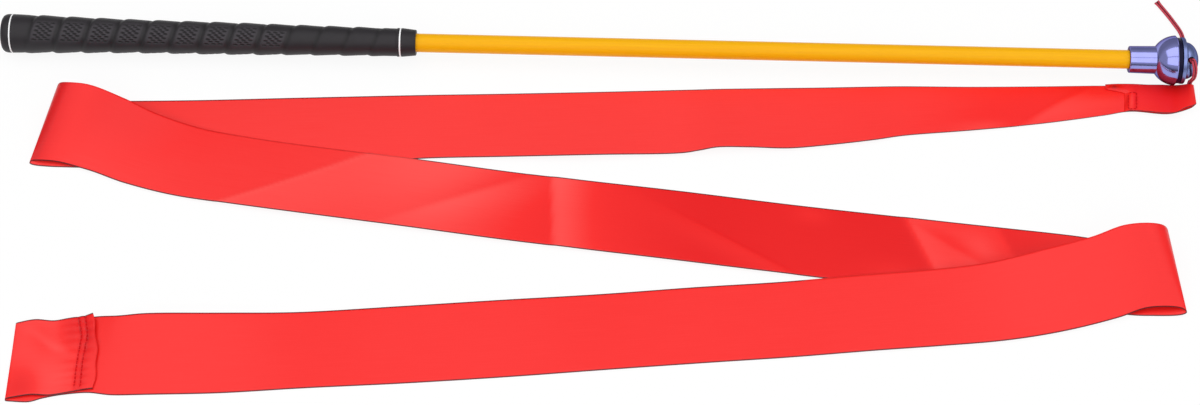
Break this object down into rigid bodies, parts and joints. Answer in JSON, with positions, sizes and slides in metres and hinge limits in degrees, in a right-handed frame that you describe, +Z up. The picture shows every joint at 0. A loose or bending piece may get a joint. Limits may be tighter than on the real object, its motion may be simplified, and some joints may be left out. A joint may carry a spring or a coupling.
{
  "type": "rhythmic ribbon wand",
  "caption": "Rhythmic gymnastics ribbon wand: rubber grip, slim rod and ball-bearing swivel head, with a satin ribbon tied on by a cord and laid out in folds.",
  "frame": {"origin": "middle of the footprint on the floor, without the cord", "axes": "+X along the wand from its butt to its swivel head, +Y from the ribbon to the wand, +Z up"},
  "size_m": [0.7686, 0.3258, 0.032],
  "materials": {
    "grip_rubber": "matt moulded",
    "white_plastic": "satin",
    "grip_tape": "matt",
    "amber_rod": "polished glass fibre",
    "anodised_violet": "polished and anodised",
    "black_nylon": "satin",
    "bearing_steel": "ground",
    "cage_nylon": "satin",
    "crimson_cord": "braided",
    "red_satin": "satin weave"
  },
  "bodies": {
    "ribbon": {"ribbon": "red_satin", "cord_line": "crimson_cord", "cord_knot": "crimson_cord", "cord_tail": "crimson_cord"},
    "cap": {"swivel_cap": "anodised_violet", "spindle_screw": "bearing_steel", "spindle_washer": "bearing_steel", "bearing_inner_race": "bearing_steel"},
    "wand": {"grip_end_cap": "grip_rubber", "grip_rear_ring": "white_plastic", "grip_sleeve": "grip_rubber", "grip_front_ring": "white_plastic", "grip_tape": "grip_tape", "rod": "amber_rod", "head_housing": "anodised_violet", "retainer_ring": "black_nylon", "bearing_outer_race": "bearing_steel", "bearing_rear_shield": "bearing_steel", "bearing_front_shield": "bearing_steel"},
    "cage_and_balls": {"bearing_cage": "cage_nylon", "bearing_ball_1": "bearing_steel", "bearing_ball_2": "bearing_steel", "bearing_ball_3": "bearing_steel", "bearing_ball_4": "bearing_steel", "bearing_ball_5": "bearing_steel", "bearing_ball_6": "bearing_steel", "bearing_ball_7": "bearing_steel"}
  },
  "joints": [
    {"name": "cord_pivot", "type": "hinge", "parent": "ribbon", "child": "cap", "pos_m": [0.37809, 0.12456, 0.01604], "axis": [0.0037, 0.6018, -0.7986], "range_deg": [0, 90]},
    {"name": "swivel_spin", "type": "hinge", "parent": "cap", "child": "wand", "pos_m": [0.36559, 0.12456, 0.01598], "axis": [1, 0, 0.0047], "continuous": true},
    {"name": "cage_spin", "type": "hinge", "parent": "cap", "child": "cage_and_balls", "pos_m": [0.36559, 0.12456, 0.01598], "axis": [1, 0, 0.0047], "continuous": true}
  ]
}
